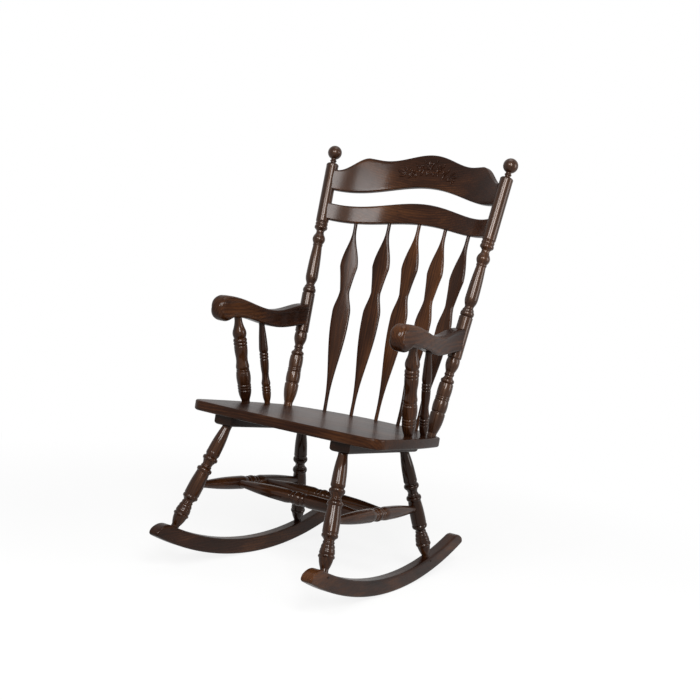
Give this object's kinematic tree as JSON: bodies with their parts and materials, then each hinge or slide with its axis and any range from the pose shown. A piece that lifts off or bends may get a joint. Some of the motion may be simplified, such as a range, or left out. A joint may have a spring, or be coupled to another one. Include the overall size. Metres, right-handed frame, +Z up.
{
  "type": "rocking chair",
  "caption": "High-backed wooden rocking chair with turned legs and posts, flattened feather slats, scrolled arms and a bowed, humped crest rail.",
  "frame": {"origin": "on the floor where the rockers touch it at rest, under the middle of the chair's bounding box", "axes": "+Z up, +X to the sitter's left, +Y to the rear, so the chair faces -Y"},
  "size_m": [0.648, 0.838, 1.2189],
  "materials": {
    "board_wood": "semi-gloss lacquer over dark walnut stain",
    "turned_wood": "semi-gloss lacquer over dark walnut stain",
    "steel": "zinc-plated steel"
  },
  "bodies": {
    "root": {"seat": "board_wood", "seat_batten_left": "board_wood", "seat_batten_right": "board_wood", "leg_front_left": "turned_wood", "leg_front_right": "turned_wood", "leg_rear_left": "turned_wood", "leg_rear_right": "turned_wood", "rocker_left": "board_wood", "rocker_right": "board_wood", "side_stretcher_left": "turned_wood", "side_stretcher_right": "turned_wood", "cross_stretcher_front": "turned_wood", "cross_stretcher_rear": "turned_wood", "back_post_left": "turned_wood", "back_post_right": "turned_wood", "crest_rail": "board_wood", "back_rail": "board_wood", "slat_1": "board_wood", "slat_2": "board_wood", "slat_3": "board_wood", "slat_4": "board_wood", "slat_5": "board_wood", "arm_left": "board_wood", "arm_right": "board_wood", "arm_post_left": "turned_wood", "arm_post_right": "turned_wood", "arm_spindle_left": "turned_wood", "arm_spindle_right": "turned_wood", "batten_screws": "steel", "rocker_pins": "board_wood", "arm_screws": "steel", "rail_pins": "board_wood"}
  },
  "joints": []
}
